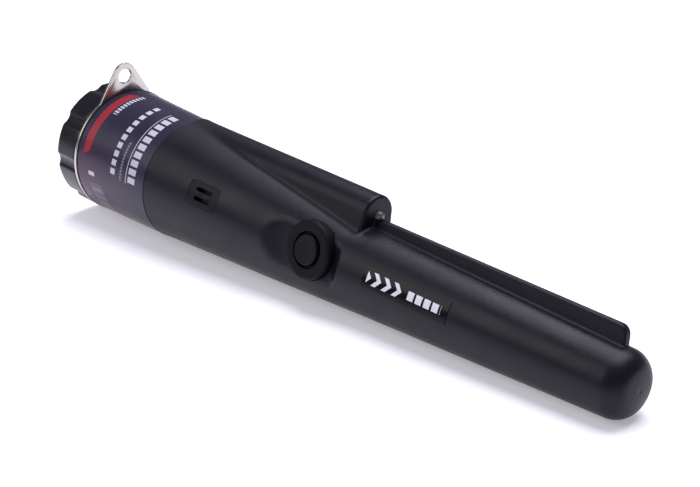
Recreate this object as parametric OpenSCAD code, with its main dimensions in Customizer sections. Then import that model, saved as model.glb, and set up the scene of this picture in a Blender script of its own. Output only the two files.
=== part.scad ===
// Pinpointer probe: a hand-held metal detecting probe that lies on its side.
// Every part is drawn along +X, from the flat end of the battery cap to the nose,
// with the spine and blade at +Z and the button near -Y. lay() then turns it to the
// way it rests on a table, about the centre of the cap's flat end.

/* [Overall] */
// Length from the cap's flat end to the nose
total_length = 234.8; // [228:0.2:290]
// Outside radius of the housing at the shoulder behind the label
shoulder_r = 21.7; // [21.2:0.1:26]
// Outside radius at the groove in front of the label
groove_r = 20.5; // [19.8:0.1:22]
// Outside radius at the lamp ledge
ledge_r = 13.5; // [13:0.1:15]
// Outside radius at the nose
nose_r = 9.9; // [9.6:0.1:12]
// Radius that rounds the nose
nose_round = 4.4; // [3:0.1:4.8]
// Radius of the slight dome on the nose
nose_dome_r = 30; // [20:1:60]
// Wall of the housing
wall = 2.2; // [1.8:0.1:2.7]
// Angle by which the spine leans back from upright as it lies
lie_roll = 13.3; // [0:0.1:30]

/* [Stations along the axis] */
// Width of the label band between shoulder and groove
label_band = 36.4; // [30:0.1:44]
// Lamp ledge, measured from the nose
ledge_from_nose = 101.3; // [90:0.1:110]
// Drop of the body's centre at the ledge
ledge_drop = 1.9; // [0:0.1:2.4]
// Step in radius from the handle down to the probe at the ledge
ledge_step = 0.12; // [0.1:0.02:0.4]
// Rise of the body's centre at the groove
groove_rise = 0.2; // [0:0.1:0.5]
// Width of the groove
groove_w = 0.45; // [0.3:0.05:0.8]

/* [Spine and blade] */
// Radius of the spine's round crown
crown_r = 6.15; // [5.5:0.05:7]
// Height of the crown's centre above the axis
crown_height = 15.2; // [14.5:0.1:16]
// Draft of the spine's flanks, degrees
flank_draft = 9; // [0:0.5:12]
// Edge rounding at the ledge
ledge_round = 1.0; // [0.4:0.1:1.5]
// Thickness of the scraping blade
blade_t = 2.6; // [2:0.1:4]
// Height of the blade's edge above the axis at the ledge
blade_edge_rear = 14.4; // [13.5:0.1:15]
// Height of the blade's edge above the axis at its front end
blade_edge_front = 15.2; // [13.5:0.1:16]
// Gap from the blade's front end to the nose
blade_from_nose = 7.6; // [6:0.1:12]
// Corner radius at the blade's front end
blade_round = 3; // [1:0.1:3.4]

/* [Battery cap] */
// Length of the cap
cap_len = 11; // [10:0.1:14]
// How far the cap's grip lobes stand out past the shoulder
cap_over = 0.1; // [-0.2:0.05:0.6]
// Number of grip flutes
cap_flutes = 9; // [6:1:12]
// Radius of the flute cutter
flute_r = 4.2; // [2:0.1:8]
// Depth of the flutes
flute_depth = 0.85; // [0.3:0.05:1.1]
// Thickness of the cap's end wall
cap_end = 2; // [1.5:0.1:3]
// Edge rounding at the cap's flat end
cap_round = 1.6; // [0.5:0.1:2]

/* [Neck and thread] */
// Inside radius of the battery bay and neck
bay_r = 16.5; // [16.2:0.1:17]
// Outside radius of the neck under its thread
neck_r = 18.35; // [18:0.05:19]
// Height of the thread
thread_h = 0.7; // [0.4:0.05:0.9]
// Advance of the cap in one turn
thread_lead = 3; // [2.5:0.1:4]
// Width of the thread at its root
thread_w = 1.2; // [0.8:0.1:1.4]
// Number of thread turns
thread_turns = 1.5; // [1:0.25:1.75]
// Radial and axial room round the thread
thread_gap = 0.22; // [0.15:0.01:0.35]

/* [Lanyard ring] */
// Thickness of the steel ring
ring_t = 1; // [0.8:0.1:1.5]
// How far the ring stands out past the shoulder
ring_over = 0.15; // [0:0.05:1]
// Radius of the land on the neck that the ring turns on
ring_land_r = 19.3; // [19.2:0.05:20]
// Distance from the shoulder out to the lanyard hole's centre
ear_hole_out = 5.4; // [4.5:0.1:8]
// Radius of the lanyard hole
ear_hole_r = 2.6; // [2:0.1:3.5]
// Radius of the ear's round tip
ear_tip_r = 4.7; // [4:0.1:6]
// Angle of the ear from the spine, towards the button
ear_angle = 14.3; // [0:0.1:360]

/* [Button] */
// Distance from the nose to the button's centre
button_from_nose = 113.7; // [111:0.1:116]
// Angle between spine and button round the body
button_angle = 87; // [80:0.5:95]
// Outside radius of the rubber boot
boot_r = 9.15; // [8:0.05:9.3]
// Outside radius of the button pad
pad_r = 4.7; // [4:0.1:5]
// Gap between pad and boot
pad_gap = 0.9; // [0.5:0.05:1.2]
// Travel of the button
button_travel = 0.6; // [0.3:0.05:0.7]
// Depth of the finger recess round the button
recess_depth = 1.9; // [1:0.1:2.2]
// Reach of the recess from the button's centre towards the cap
recess_rear = 18.5; // [16:0.1:20]
// Reach of the recess from the button's centre towards the nose
recess_front = 12.6; // [11:0.1:13]

/* [Sound grille] */
// Distance from the groove to the grille's centre
grille_from_groove = 26.4; // [24:0.1:30]
// Angle between spine and grille round the body
grille_angle = 80; // [74:0.5:92]
// Length of the grille plug
grille_len = 12.9; // [11:0.1:14]
// Height of the grille plug
grille_h = 7.8; // [7:0.1:9]
// Width of each sound slot
slot_w = 1.3; // [0.8:0.1:1.6]
// Spacing of the sound slots
slot_pitch = 3; // [2.4:0.1:3.4]

/* [Battery] */
// Length of the battery's case
battery_len = 46.4; // [45:0.1:47]
// Width of the battery's case
battery_w = 26.4; // [26:0.1:26.5]
// Depth of the battery's case
battery_d = 17.2; // [16.5:0.1:17.5]
// Spacing of the battery's snap terminals
snap_pitch = 12.7; // [12.7:0.1:12.7]

/* [Electronics] */
// Length of board in front of the button's centre
board_past_button = 9; // [8.5:0.1:10]
// Width of the circuit board
board_w = 16.5; // [14:0.1:17]
// Thickness of the circuit board
board_t = 1.6; // [1:0.1:2]
// Radius of the ferrite rod
rod_r = 4; // [3:0.1:4.5]
// Length of the ferrite rod
rod_len = 74; // [50:1:80]
// Radius of the lamp
lamp_r = 1.5; // [1.5:0.1:1.5]

/* [Labels] */
// Thickness of the wrap label
wrap_t = 0.2; // [0.1:0.05:0.3]
// Thickness of the name label
sticker_t = 0.15; // [0.1:0.05:0.3]
// Length of the name label
sticker_len = 32.6; // [25:0.1:36]
// Height of the name label round the body
sticker_h = 6.6; // [5:0.1:9]

/* [Hidden] */
$fn = 96;
fit = 0.1;             // general sliding clearance
slip = 0.04;           // axial clearance each side of the lanyard ring
film = 0.03;           // glue line under a label

cap_r = shoulder_r + cap_over;
ring_r = shoulder_r + ring_over;
ear_hole_dist = shoulder_r + ear_hole_out;

ring_x = cap_len + slip;
shoulder_x = cap_len + ring_t + 2 * slip;
groove_x = shoulder_x + label_band;
ledge_x = total_length - ledge_from_nose;
blade_end_x = total_length - blade_from_nose;
button_x = total_length - button_from_nose;
grille_x = groove_x + grille_from_groove;

handle_len = ledge_x - groove_x;
handle_tilt = atan((groove_rise + ledge_drop) / handle_len);
probe_len = total_length - ledge_x;
probe_tilt = -atan(ledge_drop / probe_len);
handle_taper = (groove_r - ledge_r) / handle_len;
probe_r = ledge_r - ledge_step;
probe_taper = (probe_r - nose_r) / probe_len;

// Bore of the probe, a step smaller than the handle's, at a distance from the ledge
bore_step = 0.4;
function probe_bore_at(x) = ledge_r - wall - bore_step - x * probe_taper;

// How far the nose points down when the groove's edge and the nose both touch the table
round_drop = sqrt(pow(nose_dome_r - nose_round, 2) - pow(nose_r - nose_round, 2));
round_x = total_length - nose_dome_r + round_drop;
rest_fall = groove_r - groove_rise - (nose_r - nose_round);
rest_run = round_x - groove_x;
lie_pitch = atan(rest_fall / rest_run) - asin(nose_round / sqrt(pow(rest_run, 2) + pow(rest_fall, 2)));

// Housing wall stations
band_depth = wrap_t + film + 0.1;
neck_rear_x = cap_end + 1.7;
nose_wall = 4.5;

// Button stack, distances from the axis along the button's own direction
function handle_r_at(x) = groove_r - (x - groove_x) * handle_taper;
skin_at_button = handle_r_at(button_x);
recess_floor = skin_at_button - recess_depth;
boot_top = skin_at_button + 0.1;
pad_top = boot_top + 0.6;
boot_floor = skin_at_button - 3.9;
boot_floor_t = 1.5;
boot_h = boot_top - boot_floor - 0.05;
board_face = 4.0;      // board's outer face from the axis
switch_h = 3.5;
plunger_out = 1.0;
pad_flange_r = pad_r + pad_gap + 0.9;
stem_r = 2;

// Battery between the cap's foam pad and the contact plate
pad_room = 2.9;
battery_x = cap_end + pad_room;
snap_h = 2.1;
snap_r = 2.85;
snap_ring_r = 4.2;
contact_x = battery_x + battery_len + snap_h + 0.3;
contact_t = 1.6;

// Bulkhead behind the contact plate, with the board running forward from it
bulkhead_x = contact_x + contact_t + 3.8;
bulkhead_t = 2;
bay_end_x = bulkhead_x + 8;
board_x = bulkhead_x + bulkhead_t + 1;
board_len = button_x - board_x + board_past_button;
board_z = -1.0;
lip = 1.3;             // inward lip of the boot, which keeps the pad in
lamp_room = 2.4;       // pocket behind the lamp, where its leads turn down

rod_x = probe_len - nose_wall - rod_len - 3.2;

// ---- Placing helpers ----------------------------------------------------------

// The whole probe as it rests on a table
module lay() { rotate([-lie_roll, lie_pitch, 0]) children(); }

// Turns a shape drawn up +Z so that it runs along +X
module along_x(x = 0) { translate([x, 0, 0]) rotate([0, 90, 0]) children(); }

// Frame of the tapered handle, from the groove towards the nose
module in_handle() { translate([groove_x, 0, groove_rise]) rotate([0, handle_tilt, 0]) children(); }

// Frame of the probe, from the ledge to the nose
module in_probe() { translate([ledge_x, 0, -ledge_drop]) rotate([0, probe_tilt, 0]) children(); }

// Frame on a side of the body: +Z points out, +X runs to the nose
module facing(angle, x = 0) { rotate([angle, 0, 0]) translate([x, 0, 0]) children(); }

// Ring about the X axis
module ring_x_shape(x, length, outer, inner) {
    along_x(x) difference() {
        cylinder(h = length, r = outer);
        translate([0, 0, -1]) cylinder(h = length + 2, r = inner);
    }
}

// Rounded bar along X with corner radius c
module rounded_bar(length, width, depth, c) {
    along_x() linear_extrude(length) rounded_rect(depth, width, c);
}

module rounded_rect(a, b, c) {
    square([a - 2 * c, b], center = true);
    square([a, b - 2 * c], center = true);
    for (i = [-1, 1], j = [-1, 1])
        translate([i * (a / 2 - c), j * (b / 2 - c)]) circle(c, $fn = 32);
}

// ---- Housing ------------------------------------------------------------------

// Nose profile: cone side, rounding and slight dome, drawn as radius against length
module nose_profile(length, r_back, r_front, rounding, dome) {
    centre_r = r_front - rounding;
    drop = sqrt(pow(dome - rounding, 2) - pow(centre_r, 2));
    dome_y = length - dome;
    side_y = dome_y + drop;
    polygon([[0, 0], [r_back, 0], [r_front, side_y], [0, side_y]]);
    translate([centre_r, side_y]) circle(rounding);
    intersection() {
        translate([0, dome_y]) circle(dome, $fn = 180);
        polygon([[0, dome_y], [centre_r * 2, dome_y + drop * 2], [0, dome_y + drop * 2]]);
    }
}

// Radius of the band under the label, which tapers evenly from shoulder to groove
function band_r_at(x) = shoulder_r - band_depth
    - (x - shoulder_x - 0.5) * (shoulder_r - groove_r) / (label_band - 0.5);

module label_band_solid() {
    along_x(shoulder_x) cylinder(h = 0.6, r = shoulder_r);
    along_x(shoulder_x + 0.5)
        cylinder(h = label_band - 0.5, r1 = band_r_at(shoulder_x + 0.5), r2 = band_r_at(groove_x));
}

module handle_solid(grow = 0) {
    over = 2;
    intersection() {
        in_handle() along_x(-over) cylinder(h = handle_len + 2 * over,
            r1 = groove_r + over * handle_taper + grow, r2 = ledge_r - over * handle_taper + grow);
        along_x(groove_x) cylinder(h = handle_len, r = groove_r * 2);
    }
}

module probe_solid(grow = 0) {
    in_probe() along_x(-2) rotate_extrude()
        nose_profile(probe_len + 2, probe_r + 2 * probe_taper + grow, nose_r + grow, nose_round, nose_dome_r);
}

module spine_solid() {
    flank_z = 4;
    flank_w = crown_r + (crown_height - flank_z) * tan(flank_draft);
    spine_len = ledge_x - groove_x + groove_w;
    along_x(groove_x - groove_w) translate([-crown_height, 0, 0]) rotate_extrude() {
        square([crown_r, spine_len - ledge_round]);
        square([crown_r - ledge_round, spine_len]);
        translate([crown_r - ledge_round, spine_len - ledge_round]) circle(ledge_round, $fn = 32);
    }
    intersection() {
        translate([groove_x + 2, 0, 0]) rotate([90, 0, 90]) linear_extrude(handle_len - 2)
            polygon([[-flank_w, flank_z], [flank_w, flank_z], [crown_r, crown_height], [-crown_r, crown_height]]);
        translate([0, 0, flank_z]) linear_extrude(crown_height) {
            translate([ledge_x - 60, -flank_w + ledge_round * 2])
                square([60, 2 * flank_w - ledge_round * 4]);
            translate([groove_x, -flank_w])
                square([handle_len - ledge_round * 2, 2 * flank_w]);
            for (side = [-1, 1])
                translate([ledge_x - ledge_round * 2, side * (flank_w - ledge_round * 2)])
                    circle(ledge_round * 2, $fn = 32);
        }
    }
}

module blade_solid() {
    slope = (blade_edge_front - blade_edge_rear) / (blade_end_x - ledge_x);
    translate([0, blade_t / 2, 0]) rotate([90, 0, 0]) linear_extrude(blade_t) {
        polygon([[ledge_x - 4, 2], [blade_end_x, 2], [blade_end_x, blade_edge_front - blade_round],
            [blade_end_x - blade_round, blade_edge_front], [ledge_x - 4, blade_edge_rear - 4 * slope]]);
        translate([blade_end_x - blade_round, blade_edge_front - blade_round])
            circle(blade_round, $fn = 48);
    }
}

// Helical thread ridge about X, as one closed solid
module thread_solid(x0, r_in, r_out, width_in, width_out, turns, twist0 = 0) {
    steps = 30;
    n = round(turns * steps);
    ring = [for (i = [0:n]) let (a = twist0 + i * 360 / steps, x = x0 + i * thread_lead / steps)
        for (p = [[-width_in / 2, r_in], [-width_out / 2, r_out], [width_out / 2, r_out], [width_in / 2, r_in]])
            [x + p[0], p[1] * cos(a), p[1] * sin(a)]];
    sides = [for (i = [0:n - 1], j = [0:3]) let (a = i * 4 + j, b = i * 4 + (j + 1) % 4) [a, b, b + 4, a + 4]];
    polyhedron(points = ring, faces = concat([[3, 2, 1, 0]], sides, [[n * 4, n * 4 + 1, n * 4 + 2, n * 4 + 3]]));
}

thread_x = neck_rear_x + 1.4;

module neck_solid() {
    along_x(neck_rear_x) cylinder(h = shoulder_x - neck_rear_x + 1, r = neck_r);
    along_x(cap_len - 0.6) cylinder(h = shoulder_x - cap_len + 1, r = ring_land_r);
    thread_solid(thread_x, neck_r - 0.3, neck_r + thread_h, thread_w + 0.3, thread_w * 0.5, thread_turns);
}

module cavity() {
    along_x(0) cylinder(h = bay_end_x, r = bay_r);
    difference() {
        in_handle() along_x(-4) cylinder(h = handle_len + 2,
            r1 = groove_r - wall + 4 * handle_taper, r2 = ledge_r - wall + 2 * handle_taper);
        along_x(-20) cylinder(h = bay_end_x + 19.9, r = 40);
    }
    in_probe() along_x(-6) cylinder(h = probe_len + 6 - nose_wall,
        r1 = probe_bore_at(-6), r2 = probe_bore_at(probe_len - nose_wall));
    spine_bore();
}

// The spine is hollow too, from the bay to the lamp's pocket, so that its walls are even
module spine_bore() {
    bore_r = crown_r - wall;
    bore_x = bay_end_x - 1;
    bore_len = lamp_x - lamp_room - bore_x;
    translate([0, 0, crown_height]) along_x(bore_x) cylinder(h = bore_len, r = bore_r);
    translate([bore_x, -bore_r, 4]) cube([bore_len, 2 * bore_r, crown_height - 4]);
}

// Seat for the rubber boot, moulded across the inside of the wall
module button_boss() {
    facing(button_angle, button_x)
        translate([0, 0, boot_floor - boot_floor_t]) cylinder(h = 20, r = boot_r + 1.6);
}

module button_cuts() {
    facing(button_angle, button_x) {
        translate([0, 0, boot_floor]) cylinder(h = 20, r = boot_r + 0.2);
        translate([0, 0, boot_floor - 5]) cylinder(h = 20, r = stem_r + 0.6);
    }
}

// Finger recess: a flat floor that follows the taper, with a soft ramp towards the cap
module finger_recess() {
    ramp_run = 9;
    ramp_r = (pow(ramp_run, 2) + pow(recess_depth, 2)) / (2 * recess_depth);
    front_r = 3.5;
    facing(button_angle, button_x) translate([0, 0, recess_floor]) rotate([0, atan(handle_taper), 0])
        rotate([90, 0, 0]) translate([0, 0, -20]) {
            translate([ramp_run - recess_rear, ramp_r, 0]) cylinder(h = 40, r = ramp_r, $fn = 180);
            translate([ramp_run - recess_rear, 0, 0])
                cube([recess_rear - ramp_run + recess_front - front_r, 20, 40]);
            translate([recess_front - front_r, front_r, 0]) cylinder(h = 40, r = front_r, $fn = 64);
            translate([recess_front - front_r, front_r, 0]) cube([front_r, 20, 40]);
        }
}

module grille_prism(grow, low, high) {
    facing(grille_angle, grille_x) translate([0, 0, low])
        linear_extrude(high - low) rounded_rect(grille_len + 2 * grow, grille_h + 2 * grow, 1.2);
}

lamp_x = ledge_x - 5.5;

module lamp_cuts() {
    translate([0, 0, crown_height]) along_x(lamp_x - 1) cylinder(h = 20, r = lamp_r + fit);
    translate([lamp_x - lamp_room, 0, 6]) cylinder(h = crown_height - 6 + 2.2, r = 2.6);
}

module housing() {
    color([0.13, 0.13, 0.15]) lay() difference() {
        union() {
            label_band_solid();
            handle_solid();
            probe_solid();
            spine_solid();
            blade_solid();
            neck_solid();
        }
        difference() {
            cavity();
            button_boss();
        }
        finger_recess();
        button_cuts();
        grille_prism(fit, handle_r_at(grille_x) - 6, 40);
        lamp_cuts();
    }
}

// ---- Cap, seal, ring ----------------------------------------------------------

module battery_cap() {
    root = neck_r + thread_h + thread_gap;
    bore = neck_r + thread_gap;
    color([0.07, 0.07, 0.08]) lay() difference() {
        along_x() rotate_extrude() {
            translate([0, cap_round]) square([cap_r, cap_len - cap_round]);
            square([cap_r - cap_round, cap_round + 1]);
            translate([cap_r - cap_round, cap_round]) circle(cap_round, $fn = 48);
        }
        for (i = [0:cap_flutes - 1])
            rotate([(i + 0.5) * 360 / cap_flutes + 7, 0, 0])
                translate([0, 0, cap_r + flute_r - flute_depth]) along_x(-1) cylinder(h = cap_len + 2, r = flute_r);
        along_x(cap_end) cylinder(h = cap_len, r = bore);
        along_x(cap_len - 0.6 - fit) cylinder(h = 5, r = ring_land_r + 0.25);
        thread_solid(thread_x - thread_lead * 0.25, bore - 0.4, root, thread_w + 0.3 + 2 * thread_gap,
            thread_w * 0.5 + 2 * thread_gap, (cap_len - thread_x + 3) / thread_lead + 0.25, -90);
    }
}

module cap_seal() {
    color([0.05, 0.05, 0.05]) lay()
        along_x(cap_end + 0.85) rotate_extrude() translate([neck_r - 0.95, 0]) circle(0.72, $fn = 32);
}

module pressure_pad() {
    color([0.16, 0.16, 0.17]) lay()
        along_x(cap_end + 0.1) cylinder(h = battery_x - cap_end - 0.2, r = 13.5);
}

module lanyard_ring() {
    color([0.8, 0.8, 0.82]) lay() rotate([ear_angle, 0, 0]) difference() {
        union() {
            along_x(ring_x) cylinder(h = ring_t, r = ring_r);
            translate([ring_x, 0, 0]) rotate([90, 0, 90]) linear_extrude(ring_t) {
                translate([0, ear_hole_dist]) circle(ear_tip_r);
                polygon([for (side = [-1, 1]) for (p = ear_flank(side)) p]);
            }
        }
        along_x(ring_x - 1) cylinder(h = ring_t + 2, r = ring_land_r + fit);
        translate([0, 0, ear_hole_dist]) along_x(ring_x - 1) cylinder(h = ring_t + 2, r = ear_hole_r);
    }
}

// Tangent points of one straight flank of the ear, on the rim and on the tip
ear_spread = 29;
function ear_flank(side) =
    let (base = [side * ring_r * sin(ear_spread), ring_r * cos(ear_spread)],
         run = [base[0], base[1] - ear_hole_dist],
         d = norm(run),
         a = atan2(run[1], run[0]) + side * acos(ear_tip_r / d),
         tip = [ear_tip_r * cos(a), ear_hole_dist + ear_tip_r * sin(a)])
    side < 0 ? [base, tip] : [tip, base];

// ---- Battery and contacts -----------------------------------------------------

module battery_case() {
    color([0.2, 0.2, 0.22]) lay() translate([battery_x, 0, 0])
        rounded_bar(battery_len, battery_w, battery_d, 2.2);
}

module snap_socket(height, gap = 0.15) {
    difference() {
        cylinder(h = height, r = snap_ring_r);
        translate([0, 0, -1]) cylinder(h = height + 2, r = snap_r + gap);
    }
}

module battery_terminals() {
    color([0.75, 0.75, 0.72]) lay() translate([battery_x + battery_len, 0, 0]) {
        translate([0, -snap_pitch / 2, 0]) along_x() cylinder(h = snap_h, r = snap_r);
        translate([0, snap_pitch / 2, 0]) along_x() snap_socket(snap_h);
    }
}

module contact_plate() {
    color([0.25, 0.2, 0.12]) lay() translate([contact_x, 0, 0])
        rounded_bar(contact_t, battery_w, battery_d, 2.2);
}

module contact_snaps() {
    reach = snap_h - 0.2;
    color([0.78, 0.7, 0.45]) lay() translate([contact_x - reach, 0, 0]) {
        translate([0, -snap_pitch / 2, 0]) along_x() snap_socket(reach);
        translate([0, snap_pitch / 2, 0]) along_x() cylinder(h = reach, r = snap_r);
    }
}

// ---- Chassis and board --------------------------------------------------------

// Frame of the board: +Z points to the button, +X to the nose
module on_board(x = 0, y = 0) {
    facing(button_angle, board_x + x) translate([0, board_z + y, board_face]) children();
}

rail_w = 2.4;
rail_d = 2.6;
screw_xs = [6, board_len - 8];
front_x = board_len - 26;    // microcontroller's centre on the board

module chassis() {
    color([0.16, 0.17, 0.2]) lay() {
        difference() {
            along_x(bulkhead_x) cylinder(h = bulkhead_t, r = bay_r - fit);
            for (y = [-5, 5]) translate([0, y, 7.5]) along_x(bulkhead_x - 1) cylinder(h = 5, r = 1.3);
        }
        difference() {
            for (side = [-1, 1])
                on_board(-1 - bulkhead_t + 0.5, side * (board_w / 2 - rail_w / 2 - 0.3))
                    translate([0, -rail_w / 2, -board_t - rail_d - 0.02])
                        cube([board_len + bulkhead_t - 2, rail_w, rail_d]);
            for (x = screw_xs, side = [-1, 1])
                on_board(x, side * (board_w / 2 - 1.5)) translate([0, 0, -6]) cylinder(h = 8, r = 0.62, $fn = 24);
        }
    }
}

module main_board() {
    color([0.05, 0.3, 0.16]) lay() difference() {
        on_board() translate([0, -board_w / 2, -board_t]) cube([board_len, board_w, board_t]);
        for (x = screw_xs, side = [-1, 1])
            on_board(x, side * (board_w / 2 - 1.5)) translate([0, 0, -4]) cylinder(h = 8, r = 0.95, $fn = 24);
    }
}

module board_screws() {
    color([0.7, 0.7, 0.7]) lay() for (x = screw_xs, side = [-1, 1])
        on_board(x, side * (board_w / 2 - 1.5)) {
            translate([0, 0, 0.02]) cylinder(h = 0.8, r = 1.4, $fn = 24);
            translate([0, 0, -3.6]) cylinder(h = 3.7, r = 0.6, $fn = 24);
        }
}

module chip(x, y, length, width, height, legs) {
    on_board(x, y) {
        translate([-length / 2, -width / 2, 0.15]) cube([length, width, height]);
        for (i = [0:legs - 1], side = [-1, 1])
            translate([(i - (legs - 1) / 2) * length / legs - 0.2, side * (width / 2 + 0.35) - 0.5, 0.02])
                cube([0.4, 1, 0.5]);
    }
}

module microcontroller() { color([0.06, 0.06, 0.06]) lay() chip(front_x, 0, 10, 7, 1.6, 8); }

module amplifier_chips() {
    color([0.07, 0.07, 0.07]) lay() for (x = [26, 33.5]) chip(x, -3, 5, 4, 1.4, 4);
}

module capacitors() {
    color([0.12, 0.14, 0.3]) lay() for (p = [[28, 4], [34.5, 4]])
        on_board(p[0], p[1]) translate([0, 0, 0.02]) cylinder(h = 6.2, r = 2.5, $fn = 48);
}

module resistors() {
    color([0.1, 0.1, 0.1]) lay() for (x = [front_x + 6.5, front_x + 9], y = [-5, -2, 1, 4])
        on_board(x, y) translate([-0.6, -1, 0.02]) cube([1.2, 2, 0.5]);
}

module trim_pot() {
    color([0.1, 0.25, 0.6]) lay() on_board(board_len - 2.6, 0) difference() {
        translate([-2.4, -2.4, 0.02]) cube([4.8, 4.8, 3]);
        translate([0, 0, 2.5]) cylinder(h = 2, r = 1.4, $fn = 32);
        translate([-1.2, -0.25, 2]) cube([2.4, 0.5, 2]);
    }
}

module tuning_inductor() {
    color([0.3, 0.16, 0.07]) lay() on_board(20, 0) translate([0, 0, 0.02]) {
        cylinder(h = 0.9, r = 2.6, $fn = 48);
        cylinder(h = 4, r = 1.9, $fn = 48);
        translate([0, 0, 3.1]) cylinder(h = 0.9, r = 2.6, $fn = 48);
    }
}

module coil_connector() {
    color([0.85, 0.83, 0.76]) lay() on_board(front_x + 12.2, -6)
        translate([-2.2, -1.9, 0.02]) cube([4.4, 3.8, 4]);
}

// ---- Button -------------------------------------------------------------------

switch_w = 6;

module tact_switch() {
    color([0.15, 0.15, 0.15]) lay() facing(button_angle, button_x) difference() {
        translate([-switch_w / 2, -switch_w / 2, board_face + 0.02]) cube([switch_w, switch_w, switch_h - 0.02]);
        translate([0, 0, board_face + 1.2]) cylinder(h = 6, r = 1.75, $fn = 48);
    }
}

module switch_plunger() {
    color([0.6, 0.1, 0.08]) lay() facing(button_angle, button_x)
        translate([0, 0, board_face + 1.2 + button_travel + 0.2])
            cylinder(h = switch_h - 1.4 - button_travel + plunger_out, r = 1.68, $fn = 48);
}

module button_boot() {
    color([0.04, 0.04, 0.045]) lay() facing(button_angle, button_x)
        translate([0, 0, boot_floor + 0.05]) rotate_extrude() difference() {
            union() {
                square([boot_r, boot_h - 1]);
                square([boot_r - 1, boot_h]);
                translate([boot_r - 1, boot_h - 1]) circle(1, $fn = 32);
            }
            translate([-1, -1]) square([pad_r + pad_gap + 1, boot_h + 2]);
            translate([-1, -1]) square([pad_flange_r + 1.2, boot_h + 1 - lip]);
        }
}

module button_pad() {
    flange_top = boot_top - lip - 0.1;
    plunger_top = board_face + switch_h + plunger_out;
    color([0.05, 0.05, 0.055]) lay() facing(button_angle, button_x) {
        translate([0, 0, flange_top - 0.8]) rotate_extrude() {
            square([pad_flange_r, 0.8]);
            square([pad_r, pad_top - flange_top + 0.8 - 0.4]);
            square([pad_r - 0.4, pad_top - flange_top + 0.8]);
            translate([pad_r - 0.4, pad_top - flange_top + 0.4]) circle(0.4, $fn = 32);
        }
        translate([0, 0, plunger_top + 0.05]) cylinder(h = flange_top - 0.4 - plunger_top, r = stem_r, $fn = 48);
    }
}

// ---- Sounder ------------------------------------------------------------------

grille_depth = wall + 0.4;
grille_inner = handle_r_at(grille_x) - grille_depth;

module grille_plug() {
    color([0.15, 0.15, 0.17]) lay() difference() {
        intersection() {
            handle_solid(-0.05);
            grille_prism(0, grille_inner, 40);
        }
        for (side = [-1, 1])
            facing(grille_angle, grille_x) translate([0, side * slot_pitch / 2, 0]) linear_extrude(40)
                rounded_rect(grille_len - 6, slot_w, slot_w / 2 - 0.01);
    }
}

module grille_gasket() {
    color([0.08, 0.08, 0.08]) lay() facing(grille_angle, grille_x)
        translate([0, 0, grille_inner - 0.55]) linear_extrude(0.4) rounded_rect(grille_len - 0.6, grille_h - 0.6, 1);
}

sounder_r = 6;
sounder_h = 3.6;
sounder_top = grille_inner - 1.2;

module sounder_case() {
    color([0.1, 0.1, 0.1]) lay() facing(grille_angle, grille_x) difference() {
        translate([0, 0, sounder_top - sounder_h]) cylinder(h = sounder_h, r = sounder_r);
        translate([0, 0, sounder_top - sounder_h + 0.8]) cylinder(h = sounder_h - 1.6, r = sounder_r - 0.8);
        translate([0, 0, sounder_top - 0.9]) cylinder(h = 2, r = 1.6, $fn = 48);
    }
}

module sounder_disc() {
    color([0.8, 0.65, 0.3]) lay() facing(grille_angle, grille_x)
        translate([0, 0, sounder_top - sounder_h + 1.3]) cylinder(h = 0.5, r = sounder_r - 0.95);
}

// ---- Vibration motor ----------------------------------------------------------

motor_r = 3.5;
motor_len = 12;
motor_x = board_x + 8;
motor_y = 5.2;

module at_motor() { translate([motor_x, motor_y, -1.0]) children(); }

module vibration_motor() {
    color([0.7, 0.7, 0.72]) lay() at_motor() difference() {
        along_x() cylinder(h = motor_len, r = motor_r);
        along_x(motor_len - 3) cylinder(h = 4, r = 0.56, $fn = 32);
    }
}

module motor_weight() {
    color([0.55, 0.55, 0.56]) lay() at_motor() {
        along_x(motor_len - 2.8) cylinder(h = 7.2, r = 0.5, $fn = 32);
        along_x(motor_len + 0.6) difference() {
            cylinder(h = 3.6, r = 3);
            translate([-8, 0.8, -1]) cube([16, 8, 8]);
        }
    }
}

module motor_clip() {
    color([0.3, 0.3, 0.32]) lay() at_motor() {
        difference() {
            along_x(3) cylinder(h = 5, r = motor_r + 0.9);
            along_x(2) cylinder(h = 7, r = motor_r + 0.05);
            translate([2, 2.2, -8]) cube([7, 8, 16]);
        }
        for (side = [-1, 1])
            translate([3, -motor_r - 2.25, side * 3.4 - 0.6]) cube([5, 1.8, 1.2]);
    }
}

// ---- Lamp ---------------------------------------------------------------------

lamp_flange_r = lamp_r + 0.4;

module at_lamp() { translate([lamp_x, 0, crown_height]) children(); }

module lamp() {
    dome_x = ledge_x - lamp_x + 0.3;
    color([0.85, 0.9, 0.95, 0.5]) lay() at_lamp() {
        along_x(-1.2) cylinder(h = dome_x + 1.2, r = lamp_r);
        along_x(-1.7) cylinder(h = 0.7, r = lamp_flange_r);
        translate([dome_x, 0, 0]) sphere(lamp_r);
    }
}

module lamp_seal() {
    color([0.05, 0.05, 0.05]) lay() at_lamp() ring_x_shape(-0.98, 0.24, lamp_flange_r, lamp_r + 0.04);
}

module lamp_leads() {
    color([0.75, 0.75, 0.72]) lay() for (y = [-0.6, 0.6])
        translate([lamp_x - 2.2, y, 0]) {
            translate([0, 0, crown_height]) along_x() cylinder(h = 0.45, r = 0.2, $fn = 16);
            translate([0, 0, 7.4]) cylinder(h = crown_height - 7.2, r = 0.2, $fn = 16);
        }
}

// ---- Sensing coil -------------------------------------------------------------

bobbin_len = 40;
bobbin_x = rod_x + 20;

module ferrite_rod() {
    color([0.2, 0.2, 0.21]) lay() in_probe() along_x(rod_x) cylinder(h = rod_len, r = rod_r);
}

module coil_bobbin() {
    color([0.85, 0.82, 0.72]) lay() in_probe() {
        ring_x_shape(bobbin_x, bobbin_len, rod_r + 0.75, rod_r + 0.05);
        for (x = [bobbin_x, bobbin_x + bobbin_len - 1]) ring_x_shape(x, 1, rod_r + 2.3, rod_r + 0.05);
    }
}

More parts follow.
